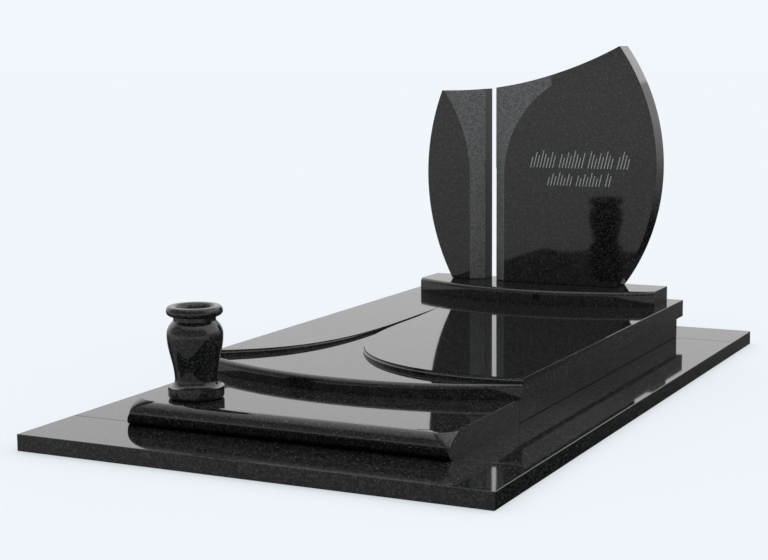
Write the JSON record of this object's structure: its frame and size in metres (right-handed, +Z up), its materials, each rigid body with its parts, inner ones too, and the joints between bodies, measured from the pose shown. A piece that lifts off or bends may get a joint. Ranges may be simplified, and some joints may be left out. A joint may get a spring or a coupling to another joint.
{
  "type": "grave monument",
  "caption": "Polished black granite grave monument: surround, plinth, kerb, carved ledger slab, stele base with curved wings, and a hollow vase.",
  "frame": {"origin": "on the ground, in the middle of the surround's footprint", "axes": "+Z up, -Y towards the foot end with the kerb and vase, +Y towards the stele, +X to the right seen from the foot end"},
  "size_m": [1.4, 2.4, 1.0733],
  "materials": {
    "polished_granite": "mirror polished black granite with fine specks",
    "surround_granite": "polished black granite strips",
    "vase_granite": "turned and polished black granite"
  },
  "bodies": {
    "root": {"surround_front": "surround_granite", "surround_back": "surround_granite", "surround_left": "surround_granite", "surround_right": "surround_granite", "front_kerb": "polished_granite", "plinth_left": "polished_granite", "plinth_right": "polished_granite", "plinth_back": "polished_granite", "ledger_slab": "polished_granite", "stele_base": "polished_granite", "stele_wing_left": "polished_granite", "stele_wing_right": "polished_granite", "vase": "vase_granite"}
  },
  "joints": []
}
